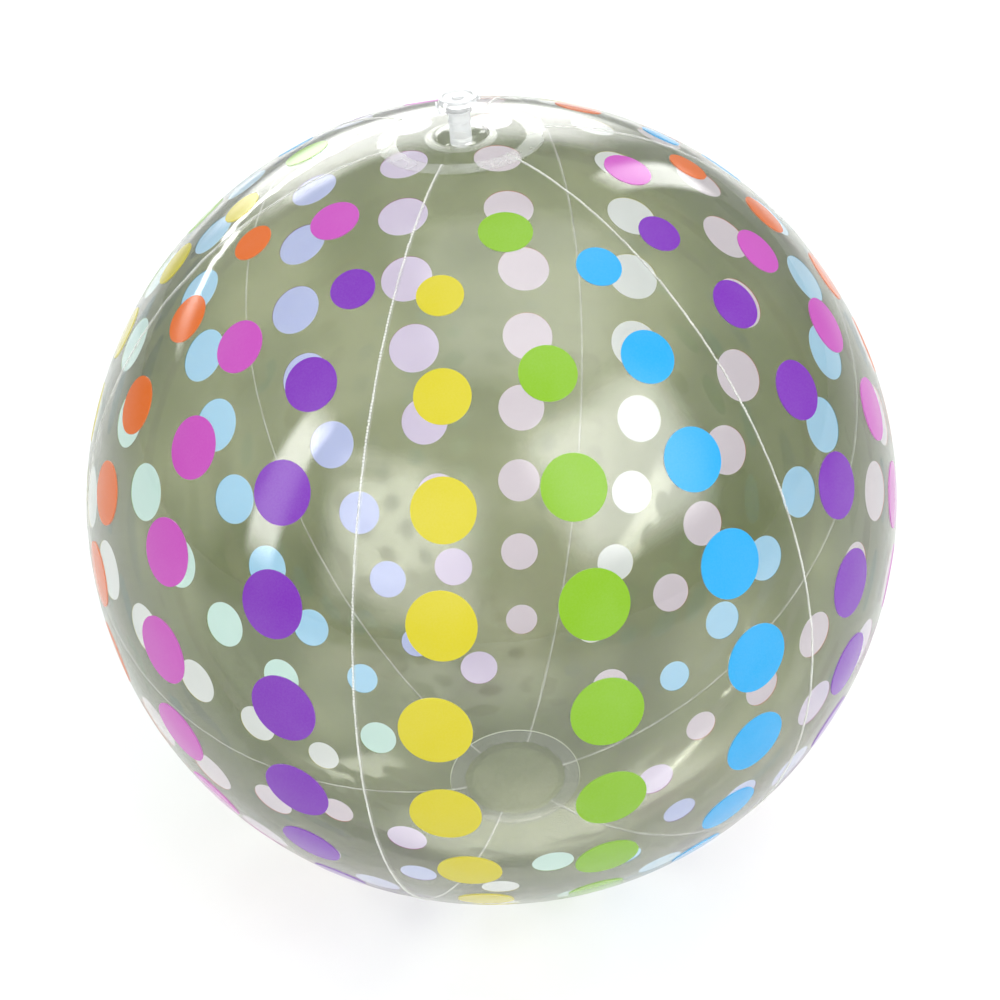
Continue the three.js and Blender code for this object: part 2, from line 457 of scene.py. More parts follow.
CLEAR = (0.98, 0.98, 0.97, 1.0)
MILKY = {
    "Subsurface Weight": 1.0, "Subsurface Radius": (1.0, 1.0, 1.0), "Subsurface Scale": 2.0 * MM}
SLANT_DEPTH = 2.0        # how much deeper the painted shade grows where the film is seen edge on
SHADE_PATCH_SCALE = 8.0       # broad paler and deeper patches in the painted shade, per metre
MIRROR_SHARE = 0.045     # what a film mirrors face on
EDGE_MIRROR = 0.40       # what it mirrors more when seen edge on
GRAIN_HEIGHT = 0.1 * MM
WHITENED = (0.95, 0.95, 0.9)     # film that the heat of a weld has whitened


def light_through(tree, facing, colours, melted):
    """The part of a film that lets light through.

    The tint is painted shade: it stands for dark ground behind the ball, so it is put on camera rays
    only where sight leaves the ball, in paler and deeper patches.
    Where the film is melted into the film next to it, it takes away no more light."""
    slant = ranged(facing, 0.45, 1.0, 0.0, 1.0)
    pale = ranged(noise(object_place(tree), SHADE_PATCH_SCALE), 0.4, 0.62, 0.0, 1.0)
    # painted shade: the dark ground behind the ball, paler in broad patches
    painted_shade = mix_colour(pale, opaque(colours.film), opaque(colours.film_pale))
    deeper = opaque([channel ** SLANT_DEPTH for channel in colours.film])
    here = node(tree, "ShaderNodeNewGeometry").outputs
    outward = vector_maths("SUBTRACT", Value(here["Position"]), (0.0, 0.0, CENTRE_Z))
    entering = vector_maths("DOT_PRODUCT", Value(here["Normal"]), outward, output="Value")
    looked_at = value_of(tree, "ShaderNodeLightPath", output="Is Camera Ray")
    # the painted shade goes only on camera rays that leave the ball, less or none where the film is
    # melted
    dark = maths("LESS_THAN", entering, 0.0) * looked_at * (1.0 - melted)
    return value_of(tree, "ShaderNodeBsdfTransparent", {
        "Color": mix_colour(dark, CLEAR, mix_colour(slant, painted_shade, deeper))})


def clear_vinyl(name, colours, *, wear_scales, haze, grain, dullness, mirror=1.0, melted=0.0,
                milk=None):
    """Film that lets light through, with milky haze that scatters it and a skin that mirrors it.

    The haze is a scale of patches and the two strengths between them. It and the melted share can
    be functions of the node tree instead. The grain is the strength of the fine bumps, and the
    dullness is the roughness of the skin where it is least and most worn."""
    material, tree, output = new_material(name)
    marks = wear(tree, *wear_scales)
    normal = bump(marks["Height"], grain, GRAIN_HEIGHT)
    facing = value_of(tree, "ShaderNodeLayerWeight", {"Blend": 0.5}, "Facing")
    clear = light_through(tree, facing, colours, melted(tree) if callable(melted) else melted)
    body = principled(tree, {
        "Base Color": opaque(milk or colours.weld), "Roughness": 0.35, "Normal": normal, **MILKY})
    skin = principled(tree, {
        "Base Color": (1.0, 1.0, 1.0, 1.0), "Metallic": 1.0, "Normal": normal,
        "Roughness": ranged(marks["Dulled"], 0.0, 1.0, *dullness)})
    if callable(haze):
        cloud = haze(tree)
    else:
        scale, least, most = haze
        cloud = ranged(noise(object_place(tree), scale, 4.0), 0.35, 0.7, least, most)
    share = maths("POWER", facing, 5.0) * EDGE_MIRROR + MIRROR_SHARE * mirror
    plug(mix_shader(tree, share, mix_shader(tree, cloud, clear, body), skin), output)
    return material


def film_material(colours, film):
    """Clear film, which the discs' welds melt at its tips."""
    def melted(tree):
        return ranged(axis_radius(tree), film.disc_radius, film.disc_radius + 0.5 * MM, 0.7, 0.0)
    return clear_vinyl("clear_film", colours, wear_scales=(9.0, 420.0), haze=(9.0, 0.002, 0.022),
                       grain=0.006, dullness=(0.03, 0.09), melted=melted)


def lap_material(colours):
    """The lap under each seam, melted into the gore above it."""
    return clear_vinyl("melted_lap", colours, wear_scales=(60.0, 900.0), haze=(60.0, 0.02, 0.08),
                       grain=0.1, dullness=(0.08, 0.12), mirror=0.6, melted=1.0)


def disc_material(colours, film):
    """Polar disc: clear in the middle, milky where it is welded over the gore tips."""
    def haze(tree):
        where = object_place(tree)
        ragged = ranged(noise(where, 160.0), 0.3, 0.7, -0.9 * MM, 0.9 * MM)
        radius = axis_radius(tree) + ragged
        inner = ranged(radius, film.tip_radius - 0.2 * MM, film.tip_radius + 0.7 * MM, 0.0, 1.0)
        outer = ranged(radius, film.disc_radius - 1.1 * MM, film.disc_radius - 0.1 * MM, 1.0, 0.35)
        return inner * outer * ranged(noise(where, 55.0), 0.3, 0.7, 0.06, 0.16) + 0.02
    return clear_vinyl("disc_film", colours, wear_scales=(20.0, 500.0), haze=haze,
                       grain=0.3, dullness=(0.05, 0.15), mirror=0.7)


def weld_material(name, colours, least_haze, most_haze):
    """Pressed film, whitened by the heat."""
    return clear_vinyl(name, colours, wear_scales=(60.0, 900.0), haze=(60.0, least_haze, most_haze),
                       grain=0.4, dullness=(0.15, 0.25), melted=1.0, milk=WHITENED)


def skirt_material(colours):
    """The valve's thin soft parts: hazier than the film."""
    return clear_vinyl("soft_vinyl", colours, wear_scales=(80.0, 800.0), haze=(80.0, 0.02, 0.07),
                       grain=0.2, dullness=(0.05, 0.1), mirror=1.4, melted=0.85)


def valve_material(colours):
    """Moulded clear vinyl."""
    material, tree, output = new_material("valve_vinyl")
    marks = wear(tree, 90.0, 800.0)
    plug(principled(tree, {
        "Base Color": mix_colour(marks["Dulled"] * 0.5, opaque(colours.valve), CLEAR),
        "Roughness": ranged(marks["Dulled"], 0.0, 1.0, 0.06, 0.16),
        "IOR": 1.45,
        "Transmission Weight": 0.65,
        "Normal": bump(marks["Height"], 0.25, 0.08 * MM)}), output)
    return material


def print_material(name, ink, thinner, more):
    """Glossy print whose ink is thinner in its grain."""
    material, tree, output = new_material(name)
    grain = print_grain(tree, opaque(ink), opaque(thinner))
    plug(principled(tree, {
        "Base Color": grain["Colour"], "Roughness": grain["Roughness"],
        "Normal": bump(grain["Height"], 0.12, 0.03 * MM), **more}), output)
    return material


THIN_INK_PALER = 0.06        # how much paler an ink is where it is thin
THIN_BACK_DEEPER = 0.85      # what is left of the base coat's colour where it is thin


def ink_materials(colours):
    """For each ink, its glossy front, and the pale base coat under it, which lets light through."""
    made = {}
    for ink in INKS:
        front, back = tuple(getattr(colours, ink)), tuple(getattr(colours, ink + "_back"))
        thinner = tuple(channel + (1.0 - channel) * THIN_INK_PALER for channel in front)
        deeper = tuple(channel * THIN_BACK_DEEPER for channel in back)
        made[ink] = (print_material("ink_" + ink, front, thinner, {"IOR": 1.32}),
                     print_material("ink_" + ink + "_back", back, deeper, {"IOR": 1.38, **MILKY}))
    return made


# --- The inflated shell ---

def shell_radius(film, polar):
    """Radius of the gores' outer face at an angle from the nearer pole."""
    return BALL_R - film.pole_dip * math.exp(-((polar / film.dip_angle) ** 2))


def shell_height(film, r, lift=0.0):
    """Height above the centre of the shell, moved out by lift, at r from the axis."""
    polar = math.asin(r / BALL_R)
    for _ in range(8):
        polar = math.asin(r / (shell_radius(film, polar) + lift))
    return (shell_radius(film, polar) + lift) * math.cos(polar)


SEAM_STRIDE = 37.0       # how far apart the seams lie in the noise that puckers them


def shell_group(film):
    """Geometry group: the place on the inflated shell in a direction from its centre."""
    if "Ball Shell" in bpy.data.node_groups:
        return bpy.data.node_groups["Ball Shell"]
    tree, given, result = new_group("Ball Shell", "GeometryNodeTree", {
        "Direction": (VECTOR, None), "Lift": (FLOAT, 0.0), "Radius": (FLOAT, BALL_R),
        "Centre Height": (FLOAT, CENTRE_Z),
        **setting_inputs(film, "pole_dip", "dip_angle", "seam_dent", "dent_width", "pucker_height",
                         "pucker_length", "pucker_reach", "ripple_height", "ripple_length",
                         "disc_radius")}, {"Position": VECTOR})
    direction, radius = given["Direction"], given["Radius"]
    east, north, up = split(direction)
    polar = maths("ARCCOSINE", up)
    from_pole = maths("ARCCOSINE", maths("ABSOLUTE", up))
    dip = bell(from_pole, given["Dip Angle"]) * given["Pole Dip"]
    out = maths("SINE", polar) * radius
    turn = maths("ARCTAN2", north, east) / GORE_ANGLE
    seam = maths("ROUND", turn)
    aside = maths("ABSOLUTE", turn - seam) * GORE_ANGLE * out
    dent = bell(aside, given["Dent Width"]) * given["Seam Dent"]
    along = polar * radius / given["Pucker Length"] \
        + maths("FLOORED_MODULO", seam, float(GORES)) * SEAM_STRIDE
    fold = value_of(tree, "ShaderNodeTexNoise", {"W": along, "Scale": 1.0, "Detail": 1.0},
                    noise_dimensions="1D") - 0.5
    pucker = fold * 2.0 * (bell(aside, given["Pucker Reach"]) * given["Pucker Height"])
    wave = noise(scaled(direction, radius / given["Ripple Length"]), 1.0, 1.0) - 0.5
    ripple = wave * (given["Ripple Height"] * 2.0)
    calm = ranged(out, given["Disc Radius"], given["Disc Radius"] * 2.0, 0.0, 1.0, "SMOOTHSTEP")
    uneven = pucker - dent + ripple
    reach = radius - dip + uneven * calm + given["Lift"]
    centre = combine(tree, 0.0, 0.0, given["Centre Height"])
    plug(vector_maths("ADD", scaled(direction, reach), centre), result["Position"])
    return tree


def laid_on_shell(geometry, film, direction, lift):
    """The geometry's points, moved to the shell in their directions from its centre."""
    tree = tree_of(geometry)
    spot = value_of(tree, "GeometryNodeGroup", node_tree=shell_group(film))
    plug(direction, spot.socket.node.inputs["Direction"])
    plug(lift, spot.socket.node.inputs["Lift"])
    return value_of(tree, "GeometryNodeSetPosition", {"Geometry": geometry, "Position": spot})


def direction_at(polar, longitude):
    """The unit vector at a polar angle and a longitude."""
    out = maths("SINE", polar)
    return combine(tree_of(polar), out * maths("COSINE", longitude), out * maths("SINE", longitude),
                   maths("COSINE", polar))


def tip_to_tip(tip_radius, share):
    """The polar angle at a share of the way between the gore tips, and the length of the way."""
    tip = maths("ARCSINE", tip_radius / BALL_R)
    span = math.pi - tip * 2.0
    return tip + share * span, span * BALL_R


def scattered(points, shape, polar, longitude, scale):
    """Copies of a shape on the points, turned to face out of the shell there."""
    tree = tree_of(points)
    turn = value_of(tree, "FunctionNodeEulerToRotation", {0: combine(tree, 0.0, polar, longitude)})
    return value_of(tree, "GeometryNodeInstanceOnPoints", {
        "Points": points, "Instance": shape, "Rotation": turn, "Scale": scale})


def marked(geometry, name, value):
    """Writes a value on the geometry's points under a name."""
    return value_of(tree_of(geometry), "GeometryNodeStoreNamedAttribute", {
        "Geometry": geometry, "Name": name, "Value": value}, data_type="FLOAT", domain="POINT")


def mark(tree, name):
    return value_of(tree, "GeometryNodeInputNamedAttribute", {"Name": name}, data_type="FLOAT")


def finish_tree(geometry, result, *coats):
    """Ends a tree in Realize Instances and Set Material: a coat is a material and where it goes."""
    tree = tree_of(geometry)
    smooth = value_of(tree, "GeometryNodeSetShadeSmooth", {"Geometry": geometry})
    made = value_of(tree, "GeometryNodeRealizeInstances", {0: smooth})
    for material, selection in coats:
        made = value_of(tree, "GeometryNodeSetMaterial", {
            "Geometry": made, "Selection": selection, "Material": material})
    plug(made, result["Geometry"])


# --- Film panels ---

PANEL_COLUMNS, LAP_COLUMNS, PANEL_ROWS = 30, 4, 200


def box_grid(tree, columns, rows):
    """A box whose top and bottom are grids."""
    return value_of(tree, "GeometryNodeMeshCube", {
        "Size": (1.0, 1.0, 1.0), "Vertices X": columns, "Vertices Y": rows, "Vertices Z": 2})


def panel_tree(film):
    """One gore: a grid laid on the shell from tip to tip, with a lap that dips under the next."""
    tree, given, result = new_group("Film Panel", "GeometryNodeTree", {
        "Left Angle": (FLOAT, 0.0), "Gore Angle": (FLOAT, GORE_ANGLE),
        **setting_inputs(film, "tip_radius", "lap_width", "lap_drop", "thickness"),
        "Columns": (INTEGER, PANEL_COLUMNS + LAP_COLUMNS + 1), "Rows": (INTEGER, PANEL_ROWS + 1),
        "Material": (MATERIAL, None), "Lap Material": (MATERIAL, None)}, {"Geometry": GEOMETRY})
    grid = box_grid(tree, given["Columns"], given["Rows"])
    across, up, out = split(position(tree))
    polar, _ = tip_to_tip(given["Tip Radius"], 0.5 - up)
    panel_share = PANEL_COLUMNS / (PANEL_COLUMNS + LAP_COLUMNS)
    in_panel = ranged(across + 0.5, 0.0, panel_share, 0.0, 1.0)
    in_lap = ranged(across + 0.5, panel_share, 1.0, 0.0, 1.0)
    lap_angle = given["Lap Width"] / (maths("SINE", polar) * BALL_R)
    longitude = given["Left Angle"] + in_panel * given["Gore Angle"] + in_lap * lap_angle
    dropped = maths("MINIMUM", in_lap * float(LAP_COLUMNS), 1.0)
    under = maths("LESS_THAN", out, 0.0) * given["Thickness"]
    lift = (dropped * given["Lap Drop"] + under) * -1.0
    laid = laid_on_shell(marked(grid, "lap", in_lap), film, direction_at(polar, longitude), lift)
    finish_tree(laid, result, (given["Material"], True),
                (given["Lap Material"], maths("GREATER_THAN", mark(tree, "lap"), 0.0)))
    return tree


class BALL_OT_film(bpy.types.Operator):
    """Lay the six gores of clear film on the inflated shape"""
    bl_idname = "beach_ball.film"
    bl_label = "Film Panels"

    def execute(self, context):
        film, colours = context.scene.ball_film, context.scene.ball_colours
        material, lap = film_material(colours, film), lap_material(colours)
        tree = panel_tree(film)
        for number in range(1, GORES + 1):
            left = -math.pi / 2 + GORE_ANGLE * (number - 1.5)
            panel = run_tree(f"film_panel_{number}", tree, {
                "Left Angle": left, "Material": material, "Lap Material": lap})
            place(panel, "ball", "film", f"gore_{number}")
        return {"FINISHED"}


# --- Seam welds ---

def uneven(tree, seed, least, most):
    """A random value for each point."""
    return value_of(tree, "FunctionNodeRandomValue", {"Seed": seed, 2: least, 3: most}, 1,
                    data_type="FLOAT")


BEAD_DRIFT = 0.22                # how far a bead strays from the seam, as a share of the width
BEAD_UNEVEN = (0.75, 1.15)       # how a bead's width varies
BEAD_LONG, BEAD_WIDE, BEAD_TALL = 0.45, 0.7, 0.9     # its radii: shares of pitch, width and height


def weld_tree(film):
    """One seam's weld: a narrow crowned strip with a row of pressed beads along it."""
    tree, given, result = new_group("Seam Weld", "GeometryNodeTree", {
        "Seam Angle": (FLOAT, 0.0), **setting_inputs(film, "tip_radius", "weld_width", "bead_pitch"),
        "Height": (FLOAT, 0.2 * MM), "Depth": (FLOAT, 0.34 * MM), "Seed": (INTEGER, 7),
        "Line": (MATERIAL, None), "Beads": (MATERIAL, None)}, {"Geometry": GEOMETRY})
    width, height = given["Weld Width"], given["Height"]
    strip = box_grid(tree, 5, PANEL_ROWS + 1)
    across, up, out = split(position(tree))
    polar, length_along = tip_to_tip(given["Tip Radius"], 0.5 - up)
    longitude = given["Seam Angle"] + across * width / (maths("SINE", polar) * BALL_R)
    above = maths("GREATER_THAN", out, 0.0)
    crown = 1.0 - maths("POWER", across * 2.0, 2.0)
    lift = crown * height * above - (1.0 - above) * given["Depth"]
    band = laid_on_shell(strip, film, direction_at(polar, longitude), lift)

    count = length_along / given["Bead Pitch"]
    points = value_of(tree, "GeometryNodePoints", {"Count": count})
    share = (value_of(tree, "GeometryNodeInputIndex") + 0.5) / count
    polar, _ = tip_to_tip(given["Tip Radius"], share)
    drift = uneven(tree, given["Seed"], -BEAD_DRIFT, BEAD_DRIFT) * width
    longitude = given["Seam Angle"] + drift / (maths("SINE", polar) * BALL_R)
    bead = value_of(tree, "GeometryNodeMeshUVSphere", {"Segments": 6, "Rings": 4, "Radius": 1.0})
    wide = width * BEAD_WIDE * uneven(tree, given["Seed"] + 1.0, *BEAD_UNEVEN)
    placed = laid_on_shell(points, film, direction_at(polar, longitude), height)
    beads = scattered(placed, marked(bead, "bead", 1.0), polar, longitude,
                      combine(tree, given["Bead Pitch"] * BEAD_LONG, wide, height * BEAD_TALL))

    joined = node(tree, "GeometryNodeJoinGeometry")
    plug(band, joined.inputs[0])
    plug(beads, joined.inputs[0])
    finish_tree(Value(joined.outputs[0]), result, (given["Line"], True),
                (given["Beads"], maths("GREATER_THAN", mark(tree, "bead"), 0.5)))
    return tree


class BALL_OT_seams(bpy.types.Operator):
    """Press the beaded weld line along each seam"""
    bl_idname = "beach_ball.seams"
    bl_label = "Seam Welds"

    def execute(self, context):
        colours = context.scene.ball_colours
        line = weld_material("weld_line", colours, 0.12, 0.35)
        beads = weld_material("weld_bead", colours, 0.35, 0.65)
        tree = weld_tree(context.scene.ball_film)
        for number in range(1, GORES + 1):
            seam = -math.pi / 2 + GORE_ANGLE * (number - 0.5)
            weld = run_tree(f"seam_weld_{number}", tree, {
                "Seam Angle": seam, "Seed": number * 11, "Line": line, "Beads": beads})
            place(weld, "ball", "film")
        return {"FINISHED"}


# --- Printed dots ---

DOTS_PER_COLUMN = 10
LAST_ROW = 4.0                       # rows are counted from the middle, at 0.5, 1.5 and so on
POLEWARD_LATITUDE = math.radians(68)
DOT_TALL, DOT_TALL_LOSS = 1.015, 0.04    # the film's stretch makes dots tall, less so at the poles
MIDDLE_EXTRA = 0.5 * MM              # how much wider the dots of a middle column are


def dot_tree(film, dots):
    """One column of printed dots: ink on the outer face, the white base coat on the inner."""
    tree, given, result = new_group("Dot Column", "GeometryNodeTree", {
        "Gore Middle": (FLOAT, 0.0), "Side": (FLOAT, 0.0),
        **setting_inputs(dots, *type(dots).__annotations__),
        "Ink": (MATERIAL, None), "Back": (MATERIAL, None)}, {"Geometry": GEOMETRY})
    index = value_of(tree, "GeometryNodeInputIndex")
    sign = maths("FLOOR", index / (DOTS_PER_COLUMN / 2)) * 2.0 - 1.0
    row = maths("MODULO", index, DOTS_PER_COLUMN / 2) + 0.5
    row_squared = row * row
    is_side = maths("ABSOLUTE", given["Side"])
    is_middle = 1.0 - is_side
    is_end = maths("GREATER_THAN", row, LAST_ROW) * is_middle
    not_end = 1.0 - is_end

    stretch = is_side + is_middle * given["Middle Stretch"]
    step = given["Row Angle"] * row * (1.0 - given["Row Shrink"] * row_squared) * stretch
    away = step * not_end + given["End Latitude"] * is_end
    latitude = given["Middle Latitude"] + away * sign
    polar = math.pi / 2 - latitude
    aside = (given["Side Angle"] - given["Side Taper"] * row) * given["Side"]
    longitude = given["Gore Middle"] + aside / maths("COSINE", latitude)

    wide = given["Diameter"] - given["Taper"] * row - given["Taper Growth"] * row_squared
    wide = (wide + is_middle * MIDDLE_EXTRA) * not_end + given["End Diameter"] * is_end
    poleward = maths("ABSOLUTE", latitude) / POLEWARD_LATITUDE
    tall = DOT_TALL - poleward * poleward * DOT_TALL_LOSS

    dot = node(tree, "GeometryNodeMeshCylinder", {
        "Vertices": 40, "Side Segments": 1, "Fill Segments": 5, "Radius": 0.5, "Depth": 1.0},
        fill_type="TRIANGLE_FAN")
    is_outer = maths("GREATER_THAN", split(position(tree))[2], 0.0)
    shape = marked(Value(dot.outputs["Mesh"]), "outer_face", is_outer)
    points = value_of(tree, "GeometryNodePoints", {"Count": DOTS_PER_COLUMN})
    placed = laid_on_shell(points, film, direction_at(polar, longitude), 0.0)
    size = combine(tree, wide * tall, wide / tall, 0.0)
    copies = scattered(placed, shape, polar, longitude, size)
    real = value_of(tree, "GeometryNodeRealizeInstances", {0: copies})
    outer = mark(tree, "outer_face")
    lift = outer * (given["Depth"] + given["Height"]) - given["Depth"]
    from_centre = vector_maths("SUBTRACT", position(tree), (0.0, 0.0, CENTRE_Z))
    curved = laid_on_shell(real, film, vector_maths("NORMALIZE", from_centre), lift)
    finish_tree(curved, result, (given["Ink"], True),
                (given["Back"], maths("LESS_THAN", outer, 0.25)))
    return tree


class BALL_OT_dots(bpy.types.Operator):
    """Print three columns of round dots on each gore"""
    bl_idname = "beach_ball.dots"
    bl_label = "Printed Dots"

    def execute(self, context):
        inks = ink_materials(context.scene.ball_colours)
        tree = dot_tree(context.scene.ball_film, context.scene.ball_dots)
        for number, columns in enumerate(GORE_INKS, start=1):
            middle = -math.pi / 2 + GORE_ANGLE * (number - 1)
            for side, ink in zip((-1.0, 0.0, 1.0), columns):
                front, back = inks[ink]
                column = run_tree(f"dots_{number}_{ink}", tree, {
                    "Gore Middle": middle, "Side": side, "Ink": front, "Back": back})
                place(column, "ball", "ink_" + ink)
        return {"FINISHED"}


# --- Turned and swept pieces ---

def rounded(outline, radius, steps=4):
    """A closed outline with each corner off the axis rounded."""
    made = []
    count = len(outline)
    for i, corner in enumerate(outline):
        here = Vector(corner)
        before = Vector(outline[i - 1]) - here
        after = Vector(outline[(i + 1) % count]) - here
        if here.x == 0.0 or min(before.length, after.length) < 1e-9:
            made.append(tuple(here))
            continue
        cut = min(radius, 0.45 * before.length, 0.45 * after.length)
        start = here + before.normalized() * cut
        end = here + after.normalized() * cut
        for step in range(steps + 1):
            t = step / steps
            made.append(tuple(start.lerp(here, t).lerp(here.lerp(end, t), t)))
    return made


def turned_mesh(name, outline, facets=64):
    """A closed outline of (radius, height) points, anticlockwise, turned about the Z axis."""
    mesh = bmesh.new()
    rings = []
    turns = [math.tau * i / facets for i in range(facets)]
    for r, z in outline:
        if r < 1e-9:
            rings.append([mesh.verts.new((0.0, 0.0, z))] * facets)
        else:
            rings.append([mesh.verts.new((r * math.cos(t), r * math.sin(t), z)) for t in turns])
    closes_on_axis = outline[0][0] < 1e-9 and outline[-1][0] < 1e-9
    last = len(rings) - 1 if closes_on_axis else len(rings)
    for k in range(last):
        low, high = rings[k], rings[(k + 1) % len(rings)]
        for i in range(facets):
            j = (i + 1) % facets
            corners = list(dict.fromkeys((low[i], low[j], high[j], high[i])))
            if len(corners) > 2:
                mesh.faces.new(corners)
    bmesh.ops.recalc_face_normals(mesh, faces=mesh.faces)
    return finished_mesh(name, mesh)


def finished_mesh(name, mesh, smooth=True):
    """A bmesh as an object, shaded smooth but for its sharp edges."""
    for face in mesh.faces:
        face.smooth = smooth
    data = bpy.data.meshes.new(name)
    mesh.to_mesh(data)
    mesh.free()
    obj = new_object(name, data)
    data.set_sharp_from_angle(angle=SHARP_ANGLE)
    return obj


def shell_outline(film, radii, low, high):
    """Outline of a thin ring that follows the shell between two lifts."""
    under = [(r, shell_height(film, r, low)) for r in radii]
    over = [(r, shell_height(film, r, high)) for r in reversed(radii)]
    return under + over


def spread(first, last, steps):
    return [first + (last - first) * i / steps for i in range(steps + 1)]


RING_WIDTH = 3.2 * MM                                # the valve's base ring under the top disc
DISC_LIFT, DISC_THICKNESS = 0.3 * MM, 0.35 * MM      # the discs over the gore tips
DISC_STEPS = 16


class BALL_OT_discs(bpy.types.Operator):
    """Weld a round disc of film over the gore tips at each pole"""
    bl_idname = "beach_ball.discs"
    bl_label = "Polar Discs"

    def execute(self, context):
        film = context.scene.ball_film
        material = disc_material(context.scene.ball_colours, film)
        hole = RING_HIGH[0] - RING_WIDTH
        low, high = DISC_LIFT, DISC_LIFT + DISC_THICKNESS
        weld = spread(film.tip_radius, film.disc_radius, DISC_STEPS)
        radii = spread(hole, film.tip_radius, DISC_STEPS) + weld[1:]
        outline = [(r, CENTRE_Z + h) for r, h in shell_outline(film, radii, low, high)]
        top = turned_mesh("top_disc_film", rounded(outline, 0.12 * MM, 2), 144)
        place(top, "ball", "disc_film", "top_disc", material=material)

        flat = [(r, 0.0) for r in spread(0.0, film.flat_radius, DISC_STEPS // 2)]
        under = [(r, CENTRE_Z - shell_height(film, r, high)) for r in weld]
        over = [(r, CENTRE_Z - shell_height(film, r, low)) for r in reversed(weld)]
        back = [(r, DISC_THICKNESS) for r, _ in reversed(flat)]
        bottom = turned_mesh("bottom_disc_film", flat + under + over + back, 144)
        place(bottom, "ball", "disc_film", "bottom_disc", material=material)
        return {"FINISHED"}


# --- Valve ---

class BALL_OT_valve_base(bpy.types.Operator):
    """Make the valve's base ring and the soft skirt round its stem"""
    bl_idname = "beach_ball.valve_base"
    bl_label = "Valve Base"

    def execute(self, context):
        film, valve = context.scene.ball_film, context.scene.ball_valve
        material = skirt_material(context.scene.ball_colours)
        radii = spread(RING_HIGH[0] - RING_WIDTH, RING_HIGH[0], 4)
        outline = [(r, CENTRE_Z + h) for r, h in shell_outline(film, radii, -1.0 * MM, -0.02 * MM)]
        ring = turned_mesh("valve_base_ring", rounded(outline, valve.edge), 96)
        place(ring, "ball", "valve", "valve_flange", material=material)

        skirt = turned_mesh("valve_skirt", skirt_outline(valve), 96)
        coat(skirt, material)
        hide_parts("valve_diaphragm")
        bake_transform(skirt)
        return {"FINISHED"}


def skirt_outline(valve):
    """The skirt's shouldered dome, from its rim up to the stem."""
    neck, base = valve.stem_radius + 0.05 * MM, SKIRT_LOW[2]
    width, rise = SKIRT_HIGH[0] - neck, SKIRT_HIGH[2] - base

    def dome(inset):
        return [(neck + (width - inset) * math.cos(t), base + (rise - inset) * math.sin(t))
                for t in spread(0.0, math.pi / 2, 16)]
    return dome(0.0) + dome(valve.skirt_thickness)[::-1]


class BALL_OT_stem(bpy.types.Operator):
    """Make the valve's stem and the one-way flap under it"""
    bl_idname = "beach_ball.stem"
    bl_label = "Stem and Flap"

    def execute(self, context):
        valve = context.scene.ball_valve
        material = valve_material(context.scene.ball_colours)
        bottom, top, collar = STEM_LOW[2], STEM_HIGH[2], STEM_HIGH[0]
        wall, bore, seat = valve.stem_radius, valve.bore_radius, valve.seat_radius
        rib, slope = wall + 0.25 * MM, 0.2 * MM
        rib_low, rib_high = top - 8.0 * MM, top - 7.4 * MM
        neck, lip = top - valve.collar_height, bottom + valve.seat_height
        outline = [
            (seat, bottom), (wall, bottom), (wall, rib_low - slope), (rib, rib_low), (rib, rib_high),
            (wall, rib_high + slope), (wall, neck - 0.3 * MM), (collar, neck), (collar, top),
            (bore, top), (bore, lip), (seat, lip)]
        stem = turned_mesh("stem_tube", rounded(outline, valve.edge), 64)
        place(stem, "valve", "valve", "valve_stem", material=material)

        flap = flap_mesh("one_way_flap", valve)
        place(flap, "flap", "valve", "check_flap", material=material)
        return {"FINISHED"}


def flap_mesh(name, valve):
    """A round flap with a hinge lug at one side and softly rounded edges."""
    radius = -FLAP_LOW[0]
    lug = 1.5 * MM
    corner = math.asin(lug / radius)
    turns = spread(corner, math.tau - corner, 40)
    outline = [(FLAP_HIGH[0], -lug), (FLAP_HIGH[0], lug)]
    outline += [(radius * math.cos(t), radius * math.sin(t)) for t in turns]
    mesh = bmesh.new()
    low = [mesh.verts.new((x, y, FLAP_LOW[2])) for x, y in outline]
    face = mesh.faces.new(low)
    made = bmesh.ops.extrude_face_region(mesh, geom=[face])
    moved = [item for item in made["geom"] if isinstance(item, bmesh.types.BMVert)]
    bmesh.ops.translate(mesh, verts=moved, vec=(0, 0, FLAP_HIGH[2] - FLAP_LOW[2]))
    bmesh.ops.recalc_face_normals(mesh, faces=mesh.faces)
    return softened(finished_mesh(name, mesh), 0.12 * MM)


def softened(obj, width):
    """Rounds an object's sharp edges."""
    bevel = obj.modifiers.new("Edges", "BEVEL")
    bevel.width, bevel.segments = width, 3
    bevel.limit_method, bevel.angle_limit = "ANGLE", math.radians(35)
    return apply_modifiers(obj)


def joined_solid(obj, other):
    """Joins another solid to the object and removes it."""
    union = obj.modifiers.new("Union", "BOOLEAN")
    union.operation, union.solver, union.object = "UNION", "EXACT", other
    apply_modifiers(obj)
    bpy.data.objects.remove(other)
    return obj


def swept_band(name, path, width, thickness):
    """A flat band along a path in the XZ plane, closed at both ends."""
    mesh = bmesh.new()
    rings = []
    for i, point in enumerate(path):
        here = Vector(point)
        ahead = Vector(path[min(i + 1, len(path) - 1)])
        behind = Vector(path[max(i - 1, 0)])
        along = (ahead - behind).normalized()
        across = Vector((-along.z, 0.0, along.x)) * thickness / 2
        side = Vector((0.0, width / 2, 0.0))
        corners = (here - across - side, here + across - side,
                   here + across + side, here - across + side)
        rings.append([mesh.verts.new(corner) for corner in corners])
    for low, high in zip(rings, rings[1:]):
        for i in range(4):
            mesh.faces.new((low[i], low[(i + 1) % 4], high[(i + 1) % 4], high[i]))
    mesh.faces.new(rings[0])
    mesh.faces.new(rings[-1])
    bmesh.ops.recalc_face_normals(mesh, faces=mesh.faces)
    return finished_mesh(name, mesh)


def arc(centre, radius, start, end, steps):
    """Points on an arc in the XZ plane, between two angles in degrees."""
    turns = [math.radians(degrees) for degrees in spread(start, end, steps)]
    return [(centre[0] + radius * math.cos(t), 0.0, centre[1] + radius * math.sin(t)) for t in turns]


